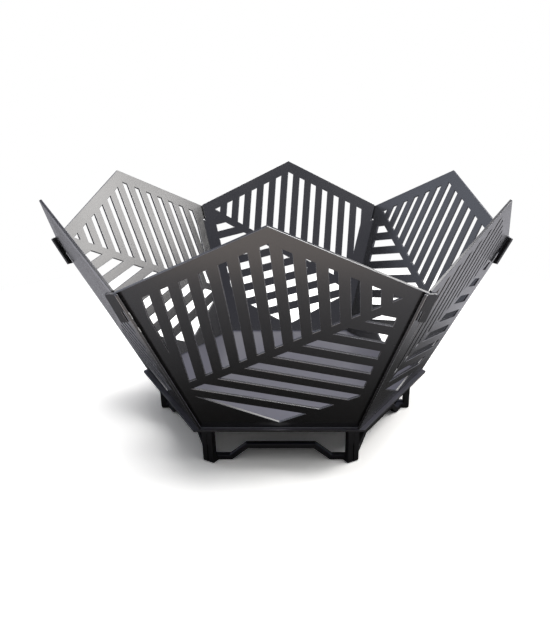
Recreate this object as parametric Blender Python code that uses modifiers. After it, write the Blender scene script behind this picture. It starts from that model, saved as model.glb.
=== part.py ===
# Hexagonal slotted fire pit: a base plate on six bar leg frames, and a ring of six leaning panels.
# Metres, +Z up. The origin is on the ground, under the middle of the base plate.
# Three panels carry hook tabs that drop into notches in the three panels between them.

import math

import bmesh
import bpy
from mathutils import Matrix, Vector

# Sheet and clearances
SHEET = 0.003                   # thickness of every cut sheet
GAP = 0.0003                    # clearance between touching pieces

# Base plate
PLATE_RADIUS = 0.210            # centre to corner
LEG_HEIGHT = 0.0550             # ground to the plate's underside

# Panels, measured on their outer faces, with heights taken along the slope
FOOT_MARGIN = 0.006365          # edge of the plate in to the foot of a panel
PANEL_LEAN = math.radians(24.8)  # outward lean from the vertical
PANEL_PEAK = 0.2961             # foot to the peak
PANEL_SHOULDER = 0.2176         # foot to the shoulders, where the corners end

# Corner joint
PROUD = 0.0075                  # how far a notched panel runs past the corner
HOOK_REACH = 0.0090             # how far a hook runs past the corner
HOOK_LENGTH = 0.0385            # shoulder to the hook's lower end
HOOK_BRIDGE = 0.0230            # depth of the part that drops into the notch
HOOK_SPREAD = 0.0016            # how much further the lower end of a hook reaches
HOOK_ROUND = 0.0025             # radius of the hook's outer corner

# Cut pattern
TOP_BAND = 0.0169               # plain band along the two roof edges
SIDE_BAND = 0.0202              # plain band beside each corner
FOOT_BAND = 0.0106              # plain height under the lowest slot's point
FOOT_SLOPE = math.radians(27.9)  # slope of the two lower limits of the pattern
BAND_HEIGHT = 0.1281            # height of the plain band between the groups, on the middle line
BAND_WIDTH = 0.0114             # width of that band
BAND_SLOPE = math.radians(29.0)  # its slope, rising to the right
STEEP_WIDTH = 0.0085            # slots of the upper group
STEEP_PITCH = 0.0205
STEEP_LEAN = math.radians(3.8)  # their lean to the left of the slope line
STEEP_START = 0.0099            # one slot's left edge on the foot line
FLAT_WIDTH = 0.0120             # slots of the lower group
FLAT_PITCH = 0.0251
FLAT_SLOPE = math.radians(14.4)  # their fall to the right
FLAT_START = 0.0357             # the lowest slot's upper edge on the middle line
SMALLEST_SLOT = 0.000012        # a cut smaller than this area is left out

# Leg frames
BAR_HEIGHT = 0.0068             # height of the rail
BAR_DEPTH = 0.0085              # depth of the rail, front to back
RAIL_MARGIN = 0.025865          # edge of the plate in to the rail's outer face
RAIL_RISE = 0.0165              # clear height under the raised middle
RAIL_FOOT = 0.02166             # flat length from the corner in to the rise
RISE_RUN = 0.0209               # sideways length of the rise
POST_WIDTH = 0.0080             # width of a post, round the ring
POST_DEPTH = 0.0080             # depth of a post, away from the centre
POST_MARGIN = 0.0230            # corner of the plate in to the outer face of a post
POST_CHAMFER = 0.0022           # outer corner at the ground
SLIT_WIDTH = 0.0014             # slit between the two posts of a corner
SLIT_HEIGHT = 0.0260            # ground to the top of the slit

PLATE_TOP = LEG_HEIGHT + SHEET
SIXTH = math.radians(60)
HALF_SIXTH = math.radians(30)
PLATE_APOTHEM = PLATE_RADIUS * math.cos(HALF_SIXTH)
PANEL_APOTHEM = PLATE_APOTHEM - FOOT_MARGIN
RAIL_APOTHEM = PLATE_APOTHEM - RAIL_MARGIN
POST_RADIUS = PLATE_RADIUS - POST_MARGIN
RISE_OUT = (RAIL_APOTHEM - BAR_DEPTH) * math.tan(HALF_SIXTH) - RAIL_FOOT
RISE_IN = RISE_OUT - RISE_RUN
NAMES = ["front", "right_front", "right_back", "back", "left_back", "left_front"]


def clear_scene():
    for obj in list(bpy.data.objects):
        bpy.data.objects.remove(obj, do_unlink=True)


def collection(name):
    made = bpy.data.collections.new(name)
    bpy.context.scene.collection.children.link(made)
    return made


def steel(name, colour, roughness, metallic):
    material = bpy.data.materials.new(name)
    material.use_nodes = True
    shader = material.node_tree.nodes["Principled BSDF"]
    shader.inputs["Base Color"].default_value = (*colour, 1)
    shader.inputs["Roughness"].default_value = roughness
    shader.inputs["Metallic"].default_value = metallic
    return material


def turned(index):
    """The turn about Z that takes the front side to this side."""
    return Matrix.Rotation(index * SIXTH, 4, "Z")


# Angles and offsets of the corner between two panels
def corner_angle():
    """Angle between the outward directions of two neighbouring panels."""
    lean = PANEL_LEAN
    return math.acos(math.cos(lean) ** 2 * math.cos(SIXTH) + math.sin(lean) ** 2)


def corner_tilt():
    """How far the corner line leans sideways, seen square to a panel."""
    return math.atan(math.sin(PANEL_LEAN) * math.tan(HALF_SIXTH))


def corner_at(height):
    """Half the width of the outer face, to the corner line."""
    return (PANEL_APOTHEM + height * math.sin(PANEL_LEAN)) * math.tan(HALF_SIXTH)


def inner_offset():
    """From the corner line in to the edge that clears the neighbour's inner face."""
    return (SHEET + GAP) / math.sin(corner_angle()) / math.cos(corner_tilt())


def outer_offset():
    """From the corner line out to the edge that clears the neighbour's outer face."""
    angle = corner_angle()
    return (SHEET * math.cos(angle) + GAP) / math.sin(angle) / math.cos(corner_tilt())


def seat_drop():
    """Extra depth of a notch, so that two leaning cut edges clear each other."""
    return SHEET * math.tan(PANEL_LEAN) + GAP / math.cos(PANEL_LEAN)


def roof_slope():
    """Fall of the roof edge for each unit sideways."""
    return (PANEL_PEAK - PANEL_SHOULDER) / corner_at(PANEL_SHOULDER)


def foot_height():
    return GAP / math.cos(PANEL_LEAN)


def rounded(corner, before, after, radius, steps=4):
    """The points of an arc that rounds a corner between two neighbours."""
    corner, before, after = Vector(corner), Vector(before), Vector(after)
    to_before = (before - corner).normalized()
    to_after = (after - corner).normalized()
    half = to_before.angle(to_after) / 2
    middle = corner + (to_before + to_after).normalized() * radius / math.sin(half)
    start = corner + to_before * radius / math.tan(half)
    turn = (start - middle).angle_signed(corner + to_after * radius / math.tan(half) - middle)
    arm = start - middle
    points = []
    for step in range(steps + 1):
        part = -turn * step / steps
        spin = Matrix.Rotation(part, 2)
        points.append(tuple(middle + spin @ arm))
    return points


def hooked_side():
    """Right half of a hooked panel's outline, from the foot up to the peak."""
    bridge = PANEL_SHOULDER - HOOK_BRIDGE
    tip = PANEL_SHOULDER - HOOK_LENGTH
    throat = outer_offset()
    top = (corner_at(PANEL_SHOULDER) + HOOK_REACH, PANEL_SHOULDER)
    toe = (corner_at(tip) + HOOK_REACH + HOOK_SPREAD, tip)
    inner = (corner_at(PANEL_SHOULDER), PANEL_SHOULDER)
    points = [(corner_at(foot_height()) - inner_offset(), foot_height())]
    points.append((corner_at(bridge) - inner_offset(), bridge))
    points.append((corner_at(bridge) + throat, bridge))
    points.append((corner_at(tip) + throat, tip))
    points.append(toe)
    points += rounded(top, toe, inner, HOOK_ROUND)
    points.append(inner)
    return points


def notched_side():
    """Right half of a notched panel's outline, from the foot up to the peak."""
    floor = PANEL_SHOULDER - HOOK_BRIDGE - seat_drop()
    throat = outer_offset()
    slope = roof_slope()
    spread = math.tan(corner_tilt())
    reach = corner_at(0) - inner_offset()
    meet = (PANEL_PEAK - slope * reach) / (1 + slope * spread)
    points = [(corner_at(foot_height()) + PROUD, foot_height())]
    points.append((corner_at(PANEL_SHOULDER) + PROUD, PANEL_SHOULDER))
    points.append((corner_at(PANEL_SHOULDER) + throat, PANEL_SHOULDER))
    points.append((corner_at(floor) + throat, floor))
    points.append((corner_at(floor) - inner_offset(), floor))
    points.append((corner_at(meet) - inner_offset(), meet))
    return points


def clipped(points, direction, limit):
    """The part of a convex outline where the dot product with direction is at most limit."""
    kept = []
    for index, here in enumerate(points):
        before = points[index - 1]
        here_over = here[0] * direction[0] + here[1] * direction[1] - limit
        before_over = before[0] * direction[0] + before[1] * direction[1] - limit
        if (here_over <= 0) != (before_over <= 0):
            part = before_over / (before_over - here_over)
            x = before[0] + (here[0] - before[0]) * part
            y = before[1] + (here[1] - before[1]) * part
            kept.append((x, y))
        if here_over <= 0:
            kept.append(here)
    return kept


def area(points):
    total = 0
    for index, here in enumerate(points):
        before = points[index - 1]
        total += before[0] * here[1] - here[0] * before[1]
    return total / 2


def sheet_field():
    """The outline inside the bands along the roof and the corners."""
    size = 2 * PANEL_PEAK
    field = [(-size, 0), (size, 0), (size, size), (-size, size)]
    fall = math.atan(roof_slope())
    tilt = corner_tilt()
    for side in (-1, 1):
        roof = (side * math.sin(fall), math.cos(fall))
        field = clipped(field, roof, PANEL_PEAK * math.cos(fall) - TOP_BAND)
        edge = (side * math.cos(tilt), -math.sin(tilt))
        field = clipped(field, edge, corner_at(0) * math.cos(tilt) - SIDE_BAND)
    return field


def slots():
    """The outlines of all the slots of one panel."""
    field = sheet_field()
    band = (-math.sin(BAND_SLOPE), math.cos(BAND_SLOPE))
    middle = BAND_HEIGHT * math.cos(BAND_SLOPE)
    upper = clipped(field, (-band[0], -band[1]), -(middle + BAND_WIDTH))
    lower = clipped(field, band, middle)
    for side in (-1, 1):
        limit = (side * math.sin(FOOT_SLOPE), -math.cos(FOOT_SLOPE))
        lower = clipped(lower, limit, -FOOT_BAND * math.cos(FOOT_SLOPE))
    across = (math.cos(STEEP_LEAN), math.sin(STEEP_LEAN))
    down = (math.sin(FLAT_SLOPE), math.cos(FLAT_SLOPE))
    cuts = []
    count = math.ceil(2 * PANEL_PEAK / STEEP_PITCH)
    for index in range(-count, count + 1):
        left = STEEP_START * math.cos(STEEP_LEAN) + index * STEEP_PITCH
        cuts.append(strip(upper, across, left, left + STEEP_WIDTH))
    for index in range(count):
        top = FLAT_START * math.cos(FLAT_SLOPE) + index * FLAT_PITCH
        low = top - FLAT_WIDTH if index else 0
        cuts.append(strip(lower, down, low, top))
    return [cut for cut in cuts if len(cut) > 2 and abs(area(cut)) > SMALLEST_SLOT]


def strip(field, across, low, high):
    """The part of a field between two parallel lines."""
    cut = clipped(field, across, high)
    return clipped(cut, (-across[0], -across[1]), -low) if cut else cut


def flat_sheet(name, outlines, thickness, where, material, home):
    """A flat outline with holes, as a solid of the given thickness, centred on its plane."""
    data = bpy.data.curves.new(name + "_outline", "CURVE")
    data.dimensions = "2D"
    data.fill_mode = "BOTH"
    data.extrude = thickness / 2
    for outline in outlines:
        spline = data.splines.new("POLY")
        spline.points.add(len(outline) - 1)
        for point, (x, y) in zip(spline.points, outline):
            point.co = (x, y, 0, 1)
        spline.use_cyclic_u = True
    curve = bpy.data.objects.new(name + "_outline", data)
    bpy.context.scene.collection.objects.link(curve)
    bpy.context.view_layer.update()
    graph = bpy.context.evaluated_depsgraph_get()
    mesh = bpy.data.meshes.new_from_object(curve.evaluated_get(graph))
    bpy.data.objects.remove(curve)
    shape = bmesh.new()
    shape.from_mesh(mesh)
    bmesh.ops.remove_doubles(shape, verts=shape.verts, dist=0.000001)
    bmesh.ops.recalc_face_normals(shape, faces=shape.faces)
    shape.to_mesh(mesh)
    shape.free()
    mesh.name = name
    mesh.materials.clear()
    mesh.materials.append(material)
    obj = bpy.data.objects.new(name, mesh)
    obj.matrix_world = where
    home.objects.link(obj)
    return obj


def panel(index, home, material):
    """One leaning panel. Every second one, from the front one on, has hooks."""
    right = hooked_side() if index % 2 == 0 else notched_side()
    left = [(-x, y) for x, y in reversed(right)]
    outline = right + [(0, PANEL_PEAK)] + left
    # Seen from outside: x to the right, y up the slope, z out of the face
    up = Vector((0, -math.sin(PANEL_LEAN), math.cos(PANEL_LEAN)))
    out = Vector((0, -math.cos(PANEL_LEAN), -math.sin(PANEL_LEAN)))
    foot = Vector((0, -PANEL_APOTHEM, PLATE_TOP)) - out * SHEET / 2
    axes = Matrix((Vector((1, 0, 0)), up, out)).transposed().to_4x4()
    where = turned(index) @ Matrix.Translation(foot) @ axes
    name = "panel_" + NAMES[index]
    return flat_sheet(name, [outline] + slots(), SHEET, where, material, home)


def base_plate(home, material):
    mesh = bpy.data.meshes.new("base_plate")
    shape = bmesh.new()
    bmesh.ops.create_cone(
        shape,
        cap_ends=True,
        segments=6,
        radius1=PLATE_RADIUS,
        radius2=PLATE_RADIUS,
        depth=SHEET,
        matrix=Matrix.Rotation(HALF_SIXTH, 4, "Z"),
    )
    shape.to_mesh(mesh)
    shape.free()
    mesh.materials.append(material)
    obj = bpy.data.objects.new("base_plate", mesh)
    obj.location = (0, 0, LEG_HEIGHT + SHEET / 2)
    home.objects.link(obj)
    return obj


def meeting(planes):
    """The point where three planes (direction, distance) meet."""
    rows = Matrix([plane[0] for plane in planes])
    return rows.inverted() @ Vector([plane[1] for plane in planes])


def leg_frame_rings():
    """The mitred sections of the right half of a frame, from the middle to the post's top."""
    flat_rise = math.atan(RAIL_RISE / (RISE_OUT - RISE_IN))
    inner = (Vector((0, -1, 0)), RAIL_APOTHEM - BAR_DEPTH)
    outer = (Vector((0, -1, 0)), RAIL_APOTHEM)
    # Planes of the rail: raised middle, slope and foot
    up = Vector((0, 0, 1))
    tilted = Vector((math.sin(flat_rise), 0, math.cos(flat_rise)))
    low = tilted.dot(Vector((RISE_OUT, 0, 0)))
    middle = ((up, RAIL_RISE + BAR_HEIGHT), (up, RAIL_RISE))
    slope = ((tilted, low + BAR_HEIGHT), (tilted, low))
    foot = ((up, BAR_HEIGHT), (up, 0))
    # Planes of the foot that turns out along the corner, and of its post
    away = Vector((math.sin(HALF_SIXTH), -math.cos(HALF_SIXTH), 0))
    beside = Vector((-math.cos(HALF_SIXTH), -math.sin(HALF_SIXTH), 0))
    near = (beside, SLIT_WIDTH / 2)
    close = (beside, GAP / 2)
    far = (beside, GAP / 2 + POST_WIDTH)
    post = ((away, POST_RADIUS - POST_DEPTH), (away, POST_RADIUS))
    start = (Vector((1, 0, 0)), 0)
    rings = []
    pairs = ((0, 0), (1, 0), (1, 1), (0, 1))
    rail = (inner, outer)
    turned_in = (near, far)
    closed_in = (close, far)
    rings.append([meeting((rail[a], middle[b], start)) for a, b in pairs])
    rings.append([meeting((rail[a], middle[b], slope[b])) for a, b in pairs])
    rings.append([meeting((rail[a], slope[b], foot[b])) for a, b in pairs])
    rings.append([meeting((rail[a], turned_in[a], foot[b])) for a, b in pairs])
    rings.append([meeting((turned_in[a], foot[b], post[b])) for a, b in pairs])
    step = (up, SLIT_HEIGHT)
    rings.append([meeting((turned_in[a], post[b], step)) for a, b in pairs])
    step = (up, SLIT_HEIGHT + (SLIT_WIDTH - GAP) / 2)
    rings.append([meeting((closed_in[a], post[b], step)) for a, b in pairs])
    top = (up, LEG_HEIGHT - GAP)
    rings.append([meeting((closed_in[a], post[b], top)) for a, b in pairs])
    return rings


def leg_frame_mesh(material):
    """Half a bent bar with mitred bends, open at the middle where it is mirrored."""
    mesh = bpy.data.meshes.new("leg_frame")
    shape = bmesh.new()
    rings = [[shape.verts.new(point) for point in points] for points in leg_frame_rings()]
    for before, after in zip(rings, rings[1:]):
        for side in range(4):
            other = (side + 1) % 4
            shape.faces.new((before[side], after[side], after[other], before[other]))
    shape.faces.new(rings[-1])
    weight = shape.edges.layers.float.new("bevel_weight_edge")
    shape.edges.get((rings[4][2], rings[4][3]))[weight] = 1
    bmesh.ops.recalc_face_normals(shape, faces=shape.faces)
    shape.to_mesh(mesh)
    shape.free()
    mesh.materials.append(material)
    return mesh


def leg_frame(index, mesh, home):
    obj = bpy.data.objects.new("leg_frame_" + NAMES[index], mesh)
    obj.matrix_world = turned(index)
    home.objects.link(obj)
    mirror = obj.modifiers.new("other half", "MIRROR")
    mirror.use_axis = (True, False, False)
    mirror.use_clip = True
    mirror.merge_threshold = 0.00001
    bevel = obj.modifiers.new("ground corner", "BEVEL")
    bevel.limit_method = "WEIGHT"
    bevel.width = POST_CHAMFER
    bevel.segments = 2
    return obj


def main():
    clear_scene()
    home = collection("fire_pit")
    panel_steel = steel("coated_panel_steel", (0.075, 0.073, 0.078), 0.45, 0.6)
    plate_steel = steel("coated_plate_steel", (0.085, 0.084, 0.095), 0.42, 0.6)
    leg_steel = steel("coated_leg_steel", (0.050, 0.049, 0.050), 0.45, 0.6)
    base_plate(home, plate_steel)
    frame_mesh = leg_frame_mesh(leg_steel)
    for index in range(6):
        leg_frame(index, frame_mesh, home)
        panel(index, home, panel_steel)


main()
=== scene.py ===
import math

import bmesh
import bpy
from mathutils import Matrix, Vector


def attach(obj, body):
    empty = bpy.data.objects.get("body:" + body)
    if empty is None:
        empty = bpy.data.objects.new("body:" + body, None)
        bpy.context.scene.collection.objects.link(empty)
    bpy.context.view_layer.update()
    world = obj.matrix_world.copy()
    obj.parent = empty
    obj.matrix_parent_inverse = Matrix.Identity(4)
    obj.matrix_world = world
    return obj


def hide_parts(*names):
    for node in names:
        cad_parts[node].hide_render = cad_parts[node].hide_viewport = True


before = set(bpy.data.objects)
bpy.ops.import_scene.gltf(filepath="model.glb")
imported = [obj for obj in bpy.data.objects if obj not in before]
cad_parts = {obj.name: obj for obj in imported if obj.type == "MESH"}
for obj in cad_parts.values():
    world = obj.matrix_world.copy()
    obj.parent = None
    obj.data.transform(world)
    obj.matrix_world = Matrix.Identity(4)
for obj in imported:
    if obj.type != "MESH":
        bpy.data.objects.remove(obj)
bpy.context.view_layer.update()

# Sheet and base plate, in metres
SHEET = 0.003                    # thickness of every cut sheet
GAP = 0.0003                     # clearance between touching pieces
PLATE_RADIUS = 0.210             # centre to corner
LEG_HEIGHT = 0.0550              # ground to the plate's underside
SIDES = ["front", "right_front", "right_back", "back", "left_back", "left_front"]

# Panels, measured on their outer faces, with heights taken along the slope
FOOT_MARGIN = 0.006365           # edge of the plate in to the foot of a panel
PANEL_LEAN = math.radians(24.8)  # outward lean from the vertical
PANEL_PEAK = 0.2961              # foot to the peak
PANEL_SHOULDER = 0.2176          # foot to the shoulders, where the corners end

# Corner joint
PROUD = 0.0075                   # how far a notched panel runs past the corner
HOOK_REACH = 0.0090              # how far a hook runs past the corner
HOOK_LENGTH = 0.0385             # shoulder to the hook's lower end
HOOK_BRIDGE = 0.0230             # depth of the part that drops into the notch
HOOK_SPREAD = 0.0016             # how much further the lower end of a hook reaches

# Rounded corners of the outlines
HOOK_ROUND = 0.0025
SHOULDER_ROUND = 0.0020
PROUD_ROUND = 0.0012
PEAK_ROUND = 0.0010
PLATE_ROUND = 0.0012

# Cut pattern
TOP_BAND = 0.0169                # plain band along the two roof edges
SIDE_BAND = 0.0202               # plain band beside each corner
FOOT_BAND = 0.0106               # plain height under the lowest slot's point
FOOT_SLOPE = math.radians(27.9)  # slope of the two lower limits of the pattern
BAND_HEIGHT = 0.1281             # height of the band between the groups, on the middle line
BAND_WIDTH = 0.0114              # width of that band
BAND_SLOPE = math.radians(29.0)  # its slope, rising to the right
STEEP_WIDTH = 0.0085             # slots of the upper group
STEEP_PITCH = 0.0205
STEEP_LEAN = math.radians(3.8)   # their lean to the left of the slope line
STEEP_START = 0.0099             # one slot's left edge on the foot line
FLAT_WIDTH = 0.0120              # slots of the lower group
FLAT_PITCH = 0.0251
FLAT_SLOPE = math.radians(14.4)  # their fall to the right
FLAT_START = 0.0357              # the lowest slot's upper edge on the middle line
SMALLEST_SLOT = 0.000012         # a cut smaller than this area is left out

# Rounded arrises, and the limits that tell them from flat faces, angles in radians
SHEET_ARRIS = 0.0005             # width of the rounding on sheet
LEG_ARRIS = 0.0006               # the same on the leg bars
ARRIS_STEPS = 2
ARRIS_ANGLE = math.radians(25)   # a sharper edge of a leg bar is rounded
CUT_ANGLE = 0.4                  # a sharper level edge of a flat blank is an arris
SHARP_ANGLE = math.radians(12)   # a sharper edge isn't shaded smooth
FLAT_ANGLE = 0.002               # faces that differ less are one face
WELD = 0.000004                  # points that are nearer to each other are one point
SEAM = 0.000001                  # the same inside the node tree
LEVEL = 0.00001                  # an edge with less rise is level
RIM_FACING = 0.3                 # a face of the plate that looks up less than this gets the dark rim paint, a painted shade

# Paints: how often each pattern varies in a metre, and the height of the grain
CLOUD_SCALE = 9.0
LIGHT_PATCH_SCALE = 90.0
PEEL_SCALE = 260.0
GRIT_SCALE = 1400.0
GRAIN_HEIGHT = 0.00005
GRAIN_STRENGTH = 0.08

# Places in the lists that a piece, a curve or a node keeps by number
ARRIS_PAINT, RIM_SHADE_PAINT = 1, 2
OUTLINE, UPPER_FIELD, LOWER_FIELD = 0, 1, 2
COMPARE_A, COMPARE_B = 2, 3
MIX_A, MIX_B, MIX_RESULT = 6, 7, 2

# Camera, fitted to the photograph
PHOTO_HEIGHT = 631               # pixels
FOCUS = 626.6                    # focal length in pixels
SHIFT = (-34.7, 60)              # shift of the frame in pixels
EYE = (0.1773, -4.0709, 1.7759)  # plate radii from the middle of the plate's top
LOOK_DOWN = 24.01                # degrees

# Studio
AIR_LIGHT = 0.30                 # strength of the air on the pit
AIR_SHINE = 0.33                 # its strength in reflections
AIR_COLOUR = (0.72, 0.75, 1.0)   # its colour in reflections
WHITE = (1.0, 1.0, 1.0)
FLOOR_HALF = 12                  # middle to the edge of the floor
FLOOR_DROP = 0.0002              # how far the floor lies under the feet
FLOOR_PAPER = (0.90, 0.90, 0.90)  # floor that the camera sees
FLOOR_LIFT = (0.56, 0.56, 0.56)  # added to it, so that it is white outside the shadow
FLOOR_FADE_START = 0.60          # distance from which it turns to plain white
FLOOR_FADE_LENGTH = 0.35         # length of that change
FLOOR_SHADE_PAINT = (0.06, 0.06, 0.06)   # painted shade on the floor near the pit, as other rays find it
FLOOR_BOUNCE = (0.44, 0.44, 0.48)  # the same further out
FLOOR_SHADE_START = 0.25           # distance from which the one turns to the other
FLOOR_SHADE_LENGTH = 0.25          # length of that change
PIT_MIDDLE = (0, 0, 0.1)         # what the lamps above the pit point at

PLATE_TOP = LEG_HEIGHT + SHEET
SIXTH = math.radians(60)
HALF_SIXTH = math.radians(30)
PANEL_APOTHEM = PLATE_RADIUS * math.cos(HALF_SIXTH) - FOOT_MARGIN


def added(name, data):
    """A new object in the scene."""
    obj = bpy.data.objects.new(name, data)
    bpy.context.scene.collection.objects.link(obj)
    return obj


def photo_camera():
    """The camera at the photograph's angle."""
    data = bpy.data.cameras.new("photo_camera")
    data.sensor_width = 36
    data.lens = FOCUS / PHOTO_HEIGHT * data.sensor_width
    data.shift_x = SHIFT[0] / PHOTO_HEIGHT
    data.shift_y = SHIFT[1] / PHOTO_HEIGHT
    data.clip_end = 50
    camera = added("photo_camera", data)
    camera.location = (EYE[0] * PLATE_RADIUS, EYE[1] * PLATE_RADIUS, PLATE_TOP + EYE[2] * PLATE_RADIUS)
    camera.rotation_euler = (math.radians(90 - LOOK_DOWN), 0, 0)
    bpy.context.scene.camera = camera


# Node trees, and their maths written as expressions
def put(tree, value, socket):
    """Link the value to the socket where it is a wire, and set it there where it isn't."""
    if isinstance(value, Wire):
        tree.links.new(value.socket, socket)
    else:
        socket.default_value = value


class Wire:
    """An output socket that takes part in sums."""

    def __init__(self, tree, socket):
        self.tree = tree
        self.socket = socket

    def math(self, kind, first, second):
        return Nodes(self.tree).node("ShaderNodeMath", {0: first, 1: second}, operation=kind)

    def __add__(self, other):
        return self.math("ADD", self, other)

    def __radd__(self, other):
        return self.math("ADD", other, self)

    def __sub__(self, other):
        return self.math("SUBTRACT", self, other)

    def __rsub__(self, other):
        return self.math("SUBTRACT", other, self)

    def __mul__(self, other):
        return self.math("MULTIPLY", self, other)

    def __rmul__(self, other):
        return self.math("MULTIPLY", other, self)

    def __truediv__(self, other):
        return self.math("DIVIDE", self, other)

    def __rtruediv__(self, other):
        return self.math("DIVIDE", other, self)

    def clamped(self):
        return self.math("MINIMUM", self.math("MAXIMUM", self, 0.0), 1.0)


class Nodes:
    """A node tree, and the one method that adds a node to it."""

    def __init__(self, tree):
        self.tree = tree

    def node(self, kind, inputs=None, output=0, **settings):
        """Add a node, and give the wire that leaves its chosen output, if it has any output."""
        made = self.tree.nodes.new(kind)
        for key, value in settings.items():
            setattr(made, key, value)
        for key, value in (inputs or {}).items():
            for each in value if isinstance(value, list) else [value]:
                put(self.tree, each, made.inputs[key])
        return Wire(self.tree, made.outputs[output]) if made.outputs else None

    def mix(self, part, first, second):
        inputs = {0: part, MIX_A: (*first, 1), MIX_B: (*second, 1)}
        return self.node("ShaderNodeMix", inputs, output=MIX_RESULT, data_type="RGBA")


# Outline of one panel, seen from outside: x to the right, y up the slope
def corner_angle():
    """The angle between the outward directions of two neighbouring panels."""
    lean = PANEL_LEAN
    return math.acos(math.cos(lean) ** 2 * math.cos(SIXTH) + math.sin(lean) ** 2)


def corner_tilt():
    """The lean of a panel's side edge, away from its slope line."""
    return math.atan(math.sin(PANEL_LEAN) * math.tan(HALF_SIXTH))


def corner_at(height):
    """Half the width of a panel between its two corner lines."""
    return (PANEL_APOTHEM + height * math.sin(PANEL_LEAN)) * math.tan(HALF_SIXTH)


def inner_offset():
    """From the corner line in to an edge that stays clear of the neighbour's inner face."""
    return (SHEET + GAP) / math.sin(corner_angle()) / math.cos(corner_tilt())


def outer_offset():
    """From the corner line out to an edge that stays clear of the neighbour's outer face."""
    angle = corner_angle()
    return (SHEET * math.cos(angle) + GAP) / math.sin(angle) / math.cos(corner_tilt())


def seat_drop():
    """How much lower a notch's floor is than the bridge that lies in it."""
    return SHEET * math.tan(PANEL_LEAN) + GAP / math.cos(PANEL_LEAN)


def roof_slope():
    return (PANEL_PEAK - PANEL_SHOULDER) / corner_at(PANEL_SHOULDER)


def foot_height():
    return GAP / math.cos(PANEL_LEAN)


def hooked_side():
    """Right side with a hook tab: the points upwards, each with the radius of its corner."""
    bridge = PANEL_SHOULDER - HOOK_BRIDGE
    tip = PANEL_SHOULDER - HOOK_LENGTH
    throat = outer_offset()
    return [
        (corner_at(foot_height()) - inner_offset(), foot_height(), 0),
        (corner_at(bridge) - inner_offset(), bridge, 0),
        (corner_at(bridge) + throat, bridge, 0),
        (corner_at(tip) + throat, tip, 0),
        (corner_at(tip) + HOOK_REACH + HOOK_SPREAD, tip, 0),
        (corner_at(PANEL_SHOULDER) + HOOK_REACH, PANEL_SHOULDER, HOOK_ROUND),
        (corner_at(PANEL_SHOULDER), PANEL_SHOULDER, SHOULDER_ROUND),
    ]


def notched_side():
    """Right side with a proud edge and a notch, in the same form."""
    floor = PANEL_SHOULDER - HOOK_BRIDGE - seat_drop()
    throat = outer_offset()
    slope = roof_slope()
    reach = corner_at(0) - inner_offset()
    meet = (PANEL_PEAK - slope * reach) / (1 + slope * math.tan(corner_tilt()))
    return [
        (corner_at(foot_height()) + PROUD, foot_height(), 0),
        (corner_at(PANEL_SHOULDER) + PROUD, PANEL_SHOULDER, PROUD_ROUND),
        (corner_at(PANEL_SHOULDER) + throat, PANEL_SHOULDER, 0),
        (corner_at(floor) + throat, floor, 0),
        (corner_at(floor) - inner_offset(), floor, 0),
        (corner_at(meet) - inner_offset(), meet, 0),
    ]


def fillet(points, radii, steps=3):
    """The outline with each corner rounded by its radius."""
    rounded = []
    for index, radius in enumerate(radii):
        here = Vector(points[index])
        if radius == 0:
            rounded.append(tuple(here))
            continue
        to_before = Vector(points[index - 1]) - here
        to_after = Vector(points[(index + 1) % len(points)]) - here
        reach = radius / math.tan(to_before.angle(to_after) / 2)
        start = here + to_before.normalized() * reach
        end = here + to_after.normalized() * reach
        for step in range(steps + 1):
            part = step / steps
            point = start.lerp(here, part).lerp(here.lerp(end, part), part)
            rounded.append(tuple(point))
    return rounded


def panel_outline(hooked):
    right = hooked_side() if hooked else notched_side()
    left = [(-x, y, radius) for x, y, radius in reversed(right)]
    whole = right + [(0, PANEL_PEAK, PEAK_ROUND)] + left
    return fillet([(x, y) for x, y, _ in whole], [radius for _, _, radius in whole])


# The two groups of slots
def clipped(points, direction, limit):
    """The part of a convex outline where the dot product with direction is at most limit."""
    kept = []
    for index, here in enumerate(points):
        before = points[index - 1]
        here_over = here[0] * direction[0] + here[1] * direction[1] - limit
        before_over = before[0] * direction[0] + before[1] * direction[1] - limit
        if (here_over <= 0) != (before_over <= 0):
            part = before_over / (before_over - here_over)
            x = before[0] + (here[0] - before[0]) * part
            y = before[1] + (here[1] - before[1]) * part
            kept.append((x, y))
        if here_over <= 0:
            kept.append(here)
    return kept


def area(points):
    """The area of an outline, negative where its points run clockwise."""
    total = 0
    for index, here in enumerate(points):
        before = points[index - 1]
        total += before[0] * here[1] - here[0] * before[1]
    return total / 2


def slot_fields():
    """The two convex areas of a panel that hold its upper and its lower group of slots."""
    size = 2 * PANEL_PEAK
    field = [(-size, 0), (size, 0), (size, size), (-size, size)]
    fall = math.atan(roof_slope())
    tilt = corner_tilt()
    for side in (-1, 1):
        roof = (side * math.sin(fall), math.cos(fall))
        field = clipped(field, roof, PANEL_PEAK * math.cos(fall) - TOP_BAND)
        edge = (side * math.cos(tilt), -math.sin(tilt))
        field = clipped(field, edge, corner_at(0) * math.cos(tilt) - SIDE_BAND)
    band = (-math.sin(BAND_SLOPE), math.cos(BAND_SLOPE))
    middle = BAND_HEIGHT * math.cos(BAND_SLOPE)
    upper = clipped(field, (-band[0], -band[1]), -(middle + BAND_WIDTH))
    lower = clipped(field, band, middle)
    for side in (-1, 1):
        limit = (side * math.sin(FOOT_SLOPE), -math.cos(FOOT_SLOPE))
        lower = clipped(lower, limit, -FOOT_BAND * math.cos(FOOT_SLOPE))
    return upper, lower


def slots_that_show(field, across, start, pitch, width):
    """The first slot of a row that is large enough to be cut, and how many are."""
    kept = []
    count = math.ceil(2 * PANEL_PEAK / pitch)
    for index in range(-count, count + 1):
        low = start + index * pitch
        cut = clipped(clipped(field, across, low + width), (-across[0], -across[1]), -low)
        if len(cut) > 2 and abs(area(cut)) > SMALLEST_SLOT:
            kept.append(index)
    return kept[0], len(kept)


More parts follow.
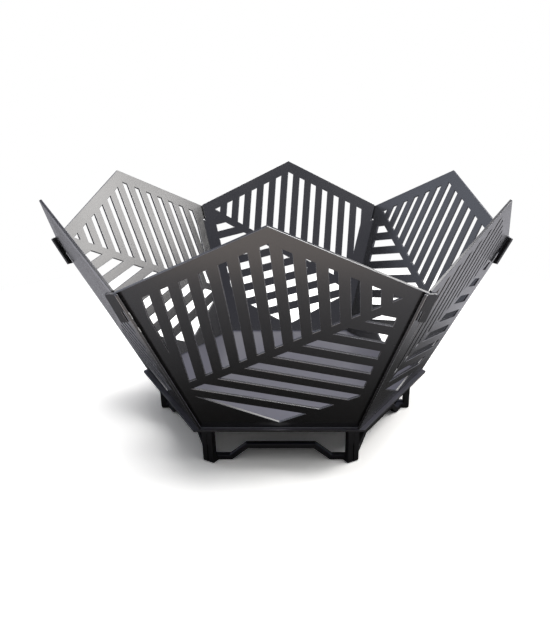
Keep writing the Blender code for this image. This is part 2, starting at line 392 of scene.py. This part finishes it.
def slot_rows(upper, lower):
    """Where the rows of slots start and how many slots they have, by the tree's input names."""
    lean = (math.cos(STEEP_LEAN), math.sin(STEEP_LEAN))
    fall = (math.sin(FLAT_SLOPE), math.cos(FLAT_SLOPE))
    steep_start = STEEP_START * math.cos(STEEP_LEAN)
    flat_start = FLAT_START * math.cos(FLAT_SLOPE)
    first, steep_count = slots_that_show(upper, lean, steep_start, STEEP_PITCH, STEEP_WIDTH)
    _, flat_count = slots_that_show(lower, fall, flat_start - FLAT_WIDTH, FLAT_PITCH, FLAT_WIDTH)
    return {
        "Steep Start": steep_start + first * STEEP_PITCH,
        "Steep Count": steep_count,
        "Flat Start": flat_start,
        "Flat Count": flat_count,
    }


# Slotted sheet, made with Geometry Nodes
class SheetNodes(Nodes):
    """The nodes that the slotted sheet is built from."""

    def given(self, name):
        return self.node("NodeGroupInput", output=name)

    def vector(self, x=0.0, y=0.0, z=0.0):
        return self.node("ShaderNodeCombineXYZ", {"X": x, "Y": y, "Z": z})

    def outline(self, place):
        """One closed line of the curve."""
        index = self.node("GeometryNodeInputIndex")
        numbers = {COMPARE_A: index, COMPARE_B: place}
        chosen = self.node("FunctionNodeCompare", numbers, data_type="INT", operation="EQUAL")
        lines = {"Geometry": self.given("Geometry"), "Selection": chosen}
        return self.node("GeometryNodeSeparateGeometry", lines, domain="CURVE")

    def block(self, place, height):
        """The area inside one outline as a solid, with its middle at height zero."""
        flat = self.node("GeometryNodeFillCurve", {"Curve": self.outline(place)}, mode="NGONS")
        raised = {"Mesh": flat, "Offset": self.vector(z=height), "Individual": False}
        lid = self.node("GeometryNodeExtrudeMesh", raised, mode="FACES")
        base = self.node("GeometryNodeFlipFaces", {"Mesh": flat})
        whole = self.node("GeometryNodeJoinGeometry", {"Geometry": [lid, base]})
        closed = self.node("GeometryNodeMergeByDistance", {"Geometry": whole, "Distance": SEAM})
        lowered = {"Geometry": closed, "Translation": self.vector(z=height * -0.5)}
        return self.node("GeometryNodeTransform", lowered)

    def row(self, first, step, count, size, turn):
        """Straight bars side by side, turned together."""
        places = {"Count": count, "Start Location": first, "Offset": step}
        line = self.node("GeometryNodeMeshLine", places, mode="OFFSET")
        bar = self.node("GeometryNodeMeshCube", {"Size": size})
        bars = self.node("GeometryNodeInstanceOnPoints", {"Points": line, "Instance": bar})
        real = self.node("GeometryNodeRealizeInstances", {"Geometry": bars})
        turned_row = {"Geometry": real, "Rotation": self.vector(z=turn)}
        return self.node("GeometryNodeTransform", turned_row)

    def kept_in(self, bars, field):
        meshes = {"Mesh 2": [bars, field]}
        return self.node("GeometryNodeMeshBoolean", meshes, operation="INTERSECT", solver="EXACT")

    def cut_out(self, sheet, cuts):
        meshes = {"Mesh 1": sheet, "Mesh 2": cuts}
        return self.node("GeometryNodeMeshBoolean", meshes, operation="DIFFERENCE", solver="EXACT")


def add_inputs(tree):
    """The named sizes of the slotted sheet."""
    sizes = {
        "Thickness": SHEET,
        "Bar Length": 2 * PANEL_PEAK,
        "Steep Width": STEEP_WIDTH,
        "Steep Pitch": STEEP_PITCH,
        "Steep Start": 0.0,
        "Steep Lean": STEEP_LEAN,
        "Flat Width": FLAT_WIDTH,
        "Flat Pitch": FLAT_PITCH,
        "Flat Start": 0.0,
        "Flat Fall": FLAT_SLOPE,
    }
    face = tree.interface
    face.new_socket("Geometry", in_out="INPUT", socket_type="NodeSocketGeometry")
    for name, size in sizes.items():
        socket = face.new_socket(name, in_out="INPUT", socket_type="NodeSocketFloat")
        socket.default_value = size
    for name in ("Steep Count", "Flat Count"):
        face.new_socket(name, in_out="INPUT", socket_type="NodeSocketInt")
    face.new_socket("Paint", in_out="INPUT", socket_type="NodeSocketMaterial")
    face.new_socket("Geometry", in_out="OUTPUT", socket_type="NodeSocketGeometry")


def slotted_sheet_tree():
    """Bars in two rows, kept inside their fields, are cut out of the filled outline."""
    tree = bpy.data.node_groups.new("slotted_sheet", "GeometryNodeTree")
    add_inputs(tree)
    make = SheetNodes(tree)
    size = make.given
    deep = size("Thickness") * 4.0
    length = size("Bar Length")
    steep = make.row(
        make.vector(x=size("Steep Start") + size("Steep Width") * 0.5),
        make.vector(x=size("Steep Pitch")),
        size("Steep Count"),
        make.vector(size("Steep Width"), length, deep),
        size("Steep Lean"),
    )
    flat = make.row(
        make.vector(y=size("Flat Start") + size("Flat Pitch") - size("Flat Width") * 0.5),
        make.vector(y=size("Flat Pitch")),
        size("Flat Count") - 1.0,
        make.vector(length, size("Flat Width"), deep),
        size("Flat Fall") * -1.0,
    )
    lowest = make.row(
        make.vector(y=size("Flat Start") * 0.5),
        make.vector(),
        1,
        make.vector(length, size("Flat Start"), deep),
        size("Flat Fall") * -1.0,
    )
    upper_cuts = make.kept_in(steep, make.block(UPPER_FIELD, deep))
    lower_bars = make.node("GeometryNodeJoinGeometry", {"Geometry": [flat, lowest]})
    lower_cuts = make.kept_in(lower_bars, make.block(LOWER_FIELD, deep))
    sheet = make.cut_out(make.block(OUTLINE, size("Thickness")), [upper_cuts, lower_cuts])
    real = make.node("GeometryNodeRealizeInstances", {"Geometry": sheet})
    painted = make.node("GeometryNodeSetMaterial", {"Geometry": real, "Material": size("Paint")})
    make.node("NodeGroupOutput", {"Geometry": painted})
    return tree


# Meshes of the pieces
def outline_curve(name, outlines):
    """The outlines as the closed lines of one flat curve."""
    data = bpy.data.curves.new(name, "CURVE")
    data.dimensions = "3D"
    for outline in outlines:
        spline = data.splines.new("POLY")
        spline.points.add(len(outline) - 1)
        for point, (x, y) in zip(spline.points, outline):
            point.co = (x, y, 0, 1)
        spline.use_cyclic_u = True
    return added(name, data)


def made_mesh(obj):
    """The object's finished shape as a plain mesh; the object goes."""
    bpy.context.view_layer.update()
    graph = bpy.context.evaluated_depsgraph_get()
    mesh = bpy.data.meshes.new_from_object(obj.evaluated_get(graph))
    bpy.data.objects.remove(obj)
    return mesh


def merged(mesh):
    """The mesh as one shape, with its doubles merged and its flat faces whole."""
    shape = bmesh.new()
    shape.from_mesh(mesh)
    bmesh.ops.remove_doubles(shape, verts=shape.verts, dist=WELD)
    bmesh.ops.dissolve_limit(shape, angle_limit=FLAT_ANGLE, verts=shape.verts, edges=shape.edges)
    return shape


def place_sheet(mesh, where):
    """Clean a flat blank, mark the arrises of its two faces, and put it in its place."""
    shape = merged(mesh)
    marks = shape.edges.layers.float.new("bevel_weight_edge")
    for edge in shape.edges:
        start, end = edge.verts
        level = abs(start.co.z - end.co.z) < LEVEL
        edge[marks] = float(level and edge.calc_face_angle(0) > CUT_ANGLE)
    bmesh.ops.transform(shape, matrix=where, verts=shape.verts)
    bmesh.ops.recalc_face_normals(shape, faces=shape.faces)
    shape.to_mesh(mesh)
    shape.free()


def with_arrises(mesh, paints, width, limit):
    """The mesh in its first paint, with its marked or its sharp arrises rounded, in its second."""
    mesh.materials.clear()
    for paint in paints:
        mesh.materials.append(paint)
    blank = added("blank", mesh)
    bevel = blank.modifiers.new("arris", "BEVEL")
    bevel.width = width
    bevel.segments = ARRIS_STEPS
    bevel.limit_method = limit
    bevel.angle_limit = ARRIS_ANGLE
    bevel.loop_slide = False
    bevel.use_clamp_overlap = False
    bevel.material = ARRIS_PAINT
    rounded = made_mesh(blank)
    rounded.shade_smooth()
    rounded.set_sharp_from_angle(angle=SHARP_ANGLE)
    return rounded


def shown(name, mesh, body, node):
    """The piece, in place of its plain solid."""
    mesh.name = name
    obj = added(name, mesh)
    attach(obj, body)
    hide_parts(node)


# The pieces
def place_of(index):
    """From the flat outline to the place of one panel, with its front on the outside."""
    up = Vector((0, -math.sin(PANEL_LEAN), math.cos(PANEL_LEAN)))
    out = Vector((0, -math.cos(PANEL_LEAN), -math.sin(PANEL_LEAN)))
    foot = Vector((0, -PANEL_APOTHEM, PLATE_TOP)) - out * SHEET / 2
    axes = Matrix((Vector((1, 0, 0)), up, out)).transposed().to_4x4()
    return Matrix.Rotation(index * SIXTH, 4, "Z") @ Matrix.Translation(foot) @ axes


def panel(index, tree, paints):
    """One slotted panel; every second one, from the front one on, has the hooks."""
    name = "panel_" + SIDES[index]
    upper, lower = slot_fields()
    curve = outline_curve(name + "_outline", [panel_outline(index % 2 == 0), upper, lower])
    values = {**slot_rows(upper, lower), "Paint": paints[0]}
    cutter = curve.modifiers.new("slots", "NODES")
    cutter.node_group = tree
    for socket in tree.interface.items_tree:
        if socket.name in values:
            cutter[socket.identifier] = values[socket.name]
    mesh = made_mesh(curve)
    place_sheet(mesh, place_of(index))
    shown(name + "_sheet", with_arrises(mesh, paints, SHEET_ARRIS, "WEIGHT"), "ring", name)


def fire_plate(paints):
    """The flat hexagon, with its rim and underside in the third paint: a dark painted shade, while the
    top keeps the lighter plate paint.
    """
    points = []
    for index in range(len(SIDES)):
        angle = index * SIXTH
        points.append((PLATE_RADIUS * math.cos(angle), PLATE_RADIUS * math.sin(angle)))
    curve = outline_curve("plate_outline", [fillet(points, [PLATE_ROUND] * len(points))])
    curve.data.dimensions = "2D"
    curve.data.fill_mode = "BOTH"
    curve.data.extrude = SHEET / 2
    mesh = made_mesh(curve)
    place_sheet(mesh, Matrix.Translation((0, 0, LEG_HEIGHT + SHEET / 2)))
    mesh = with_arrises(mesh, paints, SHEET_ARRIS, "WEIGHT")
    # Faces that look up little, the rim and the underside, get the painted shade
    for face in mesh.polygons:
        if face.normal.z < RIM_FACING:
            face.material_index = RIM_SHADE_PAINT
    shown("fire_plate", mesh, "base", "base_plate")


def leg_bar(side, paints):
    """The bent bar of one side, shaped as its plain solid."""
    node = "leg_frame_" + side
    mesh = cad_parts[node].data.copy()
    shape = merged(mesh)
    shape.to_mesh(mesh)
    shape.free()
    shown("leg_bar_" + side, with_arrises(mesh, paints, LEG_ARRIS, "ANGLE"), "base", node)


# Paints
class Finish(Nodes):
    """A material and its Principled shader."""

    def __init__(self, name):
        self.material = bpy.data.materials.new(name)
        self.material.use_nodes = True
        super().__init__(self.material.node_tree)
        self.shader = self.tree.nodes["Principled BSDF"]

    def place(self):
        return self.node("ShaderNodeTexCoord", output="Object")

    def noise(self, scale, detail=2.0):
        inputs = {"Vector": self.place(), "Scale": scale, "Detail": detail}
        return self.node("ShaderNodeTexNoise", inputs)

    def set(self, **values):
        for key, value in values.items():
            put(self.tree, value, self.shader.inputs[key.replace("_", " ")])


def stretched(pattern, start, gain):
    """The pattern above start, made stronger and kept between 0 and 1."""
    return ((pattern - start) * gain).clamped()


def heat_paint(name, dark, light, roughness, ior):
    """Satin heat-resistant paint: fine grain, faint clouding and slightly uneven gloss."""
    paint = Finish(name)
    cloud = paint.noise(CLOUD_SCALE, detail=3.0)
    grit = paint.noise(GRIT_SCALE)
    peel = paint.noise(PEEL_SCALE)
    tone = stretched(cloud, 0.35, 1.6) * 0.7 + stretched(grit, 0.3, 0.75)
    gloss = (cloud - 0.5) * 0.10 + (peel - 0.5) * 0.04 + roughness
    grain = {
        "Height": grit * 0.4 + peel * 0.6,
        "Strength": GRAIN_STRENGTH,
        "Distance": GRAIN_HEIGHT,
    }
    bump = paint.node("ShaderNodeBump", grain)
    paint.set(Base_Color=paint.mix(tone, dark, light), Roughness=gloss, Normal=bump, IOR=ior)
    return paint.material


def painted_edge_light(name, edge_dim, edge_bright, roughness, ior):
    """Smooth paint for a rounded cut edge, varying in patches; its colours are painted light on the
    edge, not the paint's own colour.
    """
    arris = Finish(name)
    # Uneven patches of the painted edge light
    uneven_light = stretched(arris.noise(LIGHT_PATCH_SCALE, detail=3.0), 0.4, 2.5)
    gloss = (arris.noise(GRIT_SCALE) - 0.5) * 0.05 + roughness
    arris.set(Base_Color=arris.mix(uneven_light, edge_dim, edge_bright), Roughness=gloss, IOR=ior)
    return arris.material


def panel_paint():
    dark = (0.010, 0.0098, 0.010)
    light = (0.017, 0.0165, 0.0165)
    return heat_paint("panel_paint", dark, light, roughness=0.25, ior=1.85)


def plate_paint():
    dark = (0.080, 0.079, 0.098)
    light = (0.108, 0.107, 0.134)
    return heat_paint("plate_paint", dark, light, roughness=0.32, ior=1.85)


# Painted shade: the plate's rim and underside are painted much darker than its top
def rim_painted_shade():
    dark = (0.010, 0.010, 0.010)
    light = (0.016, 0.016, 0.016)
    return heat_paint("rim_painted_shade", dark, light, roughness=0.40, ior=1.6)


def leg_paint():
    dark = (0.008, 0.008, 0.008)
    light = (0.014, 0.014, 0.014)
    return heat_paint("leg_paint", dark, light, roughness=0.42, ior=1.6)


# Two to three times lighter than the panel paint: a painted highlight along the rounded cut edges
def panel_arris():
    edge_dim = (0.022, 0.022, 0.025)
    edge_bright = (0.046, 0.046, 0.052)
    return painted_edge_light("panel_arris", edge_dim, edge_bright, roughness=0.27, ior=3.0)


# A little lighter than the leg paint, a painted highlight on the bars' edges; on the plate it is
# darker than the top, a painted shade at the plate's edge
def leg_edge_painted_light():
    edge_dim = (0.012, 0.012, 0.012)
    edge_bright = (0.022, 0.022, 0.022)
    return painted_edge_light("leg_edge_painted_light", edge_dim, edge_bright, roughness=0.36, ior=1.7)


# Air, lamps and floor
def studio_air():
    """White to the camera, pale blue in reflections, and a weak light on the pit."""
    world = bpy.data.worlds.new("studio_air")
    bpy.context.scene.world = world
    world.use_nodes = True
    air = Nodes(world.node_tree)
    seen = air.node("ShaderNodeLightPath", output="Is Camera Ray")
    shiny = air.node("ShaderNodeLightPath", output="Is Glossy Ray")
    strength = seen * (1 - AIR_LIGHT) + shiny * (AIR_SHINE - AIR_LIGHT) + AIR_LIGHT
    back = air.tree.nodes["Background"]
    put(air.tree, air.mix(shiny, WHITE, AIR_COLOUR), back.inputs["Color"])
    put(air.tree, strength, back.inputs["Strength"])


def lamp(name, place, size, power, tint, target=PIT_MIDDLE):
    data = bpy.data.lights.new(name, "AREA")
    data.shape = "RECTANGLE"
    data.size, data.size_y = size
    data.energy = power
    data.color = tint
    obj = added(name, data)
    obj.location = place
    aim = Vector(target) - Vector(place)
    obj.rotation_euler = aim.to_track_quat("-Z", "Y").to_euler()
    obj.visible_camera = False


def lamps():
    """Soft lamps above and beside the pit, and a warm card on the floor in front of it."""
    lamp("key", (1.05, -0.6, 2.2), size=(1.4, 1.4), power=36, tint=(1.0, 0.99, 0.97))
    lamp("overhead", (-0.3, -0.1, 2.2), size=(1.5, 1.3), power=34, tint=(1.0, 0.99, 0.98))
    lamp("right_side", (1.6, 0.65, 1.4), size=(0.95, 1.0), power=17, tint=(1.0, 0.98, 0.95))
    lamp("left_side", (-1.6, 0.75, 1.3), size=(0.9, 0.9), power=2.4, tint=(0.82, 0.88, 1.0))
    card = (0.0, -0.60, 0.002)
    above = (0.0, -0.60, 1)
    lamp("front_card", card, size=(0.42, 0.36), power=0.35, tint=(1.0, 0.82, 0.67), target=above)


def floor_finish():
    """White paper that keeps the shadow near the pit, and for other rays a darker floor with painted
    shade near the pit.
    """
    finish = Finish("studio_floor")
    finish.tree.nodes.remove(finish.shader)

    def card(shade):
        return finish.node("ShaderNodeBsdfDiffuse", {"Color": (*shade, 1)})

    def layered(part, under, over):
        return finish.node("ShaderNodeMixShader", {0: part, 1: under, 2: over})

    away = finish.node(
        "ShaderNodeVectorMath", {0: finish.place()}, output="Value", operation="LENGTH"
    )
    # Painted shade: other rays find the floor dark near the pit and lighter further out
    near = ((away - FLOOR_SHADE_START) / FLOOR_SHADE_LENGTH).clamped()
    far = ((away - FLOOR_FADE_START) / FLOOR_FADE_LENGTH).clamped()
    bounced = layered(near, card(FLOOR_SHADE_PAINT), card(FLOOR_BOUNCE))
    lit = finish.node("ShaderNodeAddShader", {0: card(FLOOR_PAPER), 1: card(FLOOR_LIFT)})
    white = finish.node("ShaderNodeEmission", {"Color": (*WHITE, 1), "Strength": 1.0})
    seen = finish.node("ShaderNodeLightPath", output="Is Camera Ray")
    whole = layered(seen, bounced, layered(far, lit, white))
    put(finish.tree, whole, finish.tree.nodes["Material Output"].inputs["Surface"])
    return finish.material


def studio_floor():
    mesh = bpy.data.meshes.new("studio_floor")
    shape = bmesh.new()
    bmesh.ops.create_grid(shape, x_segments=1, y_segments=1, size=FLOOR_HALF)
    shape.to_mesh(mesh)
    shape.free()
    mesh.materials.append(floor_finish())
    floor = added("studio_floor", mesh)
    floor.location = (0, 0, -FLOOR_DROP)


photo_camera()
studio_air()
lamps()
studio_floor()
bpy.context.scene.view_settings.view_transform = "Standard"

dull_edge_painted_light = leg_edge_painted_light()
sheet_paints = [panel_paint(), panel_arris()]
plate_paints = [plate_paint(), dull_edge_painted_light, rim_painted_shade()]
bar_paints = [leg_paint(), dull_edge_painted_light]
sheet_tree = slotted_sheet_tree()
for turn in range(len(SIDES)):
    panel(turn, sheet_tree, sheet_paints)
fire_plate(plate_paints)
for side in SIDES:
    leg_bar(side, bar_paints)
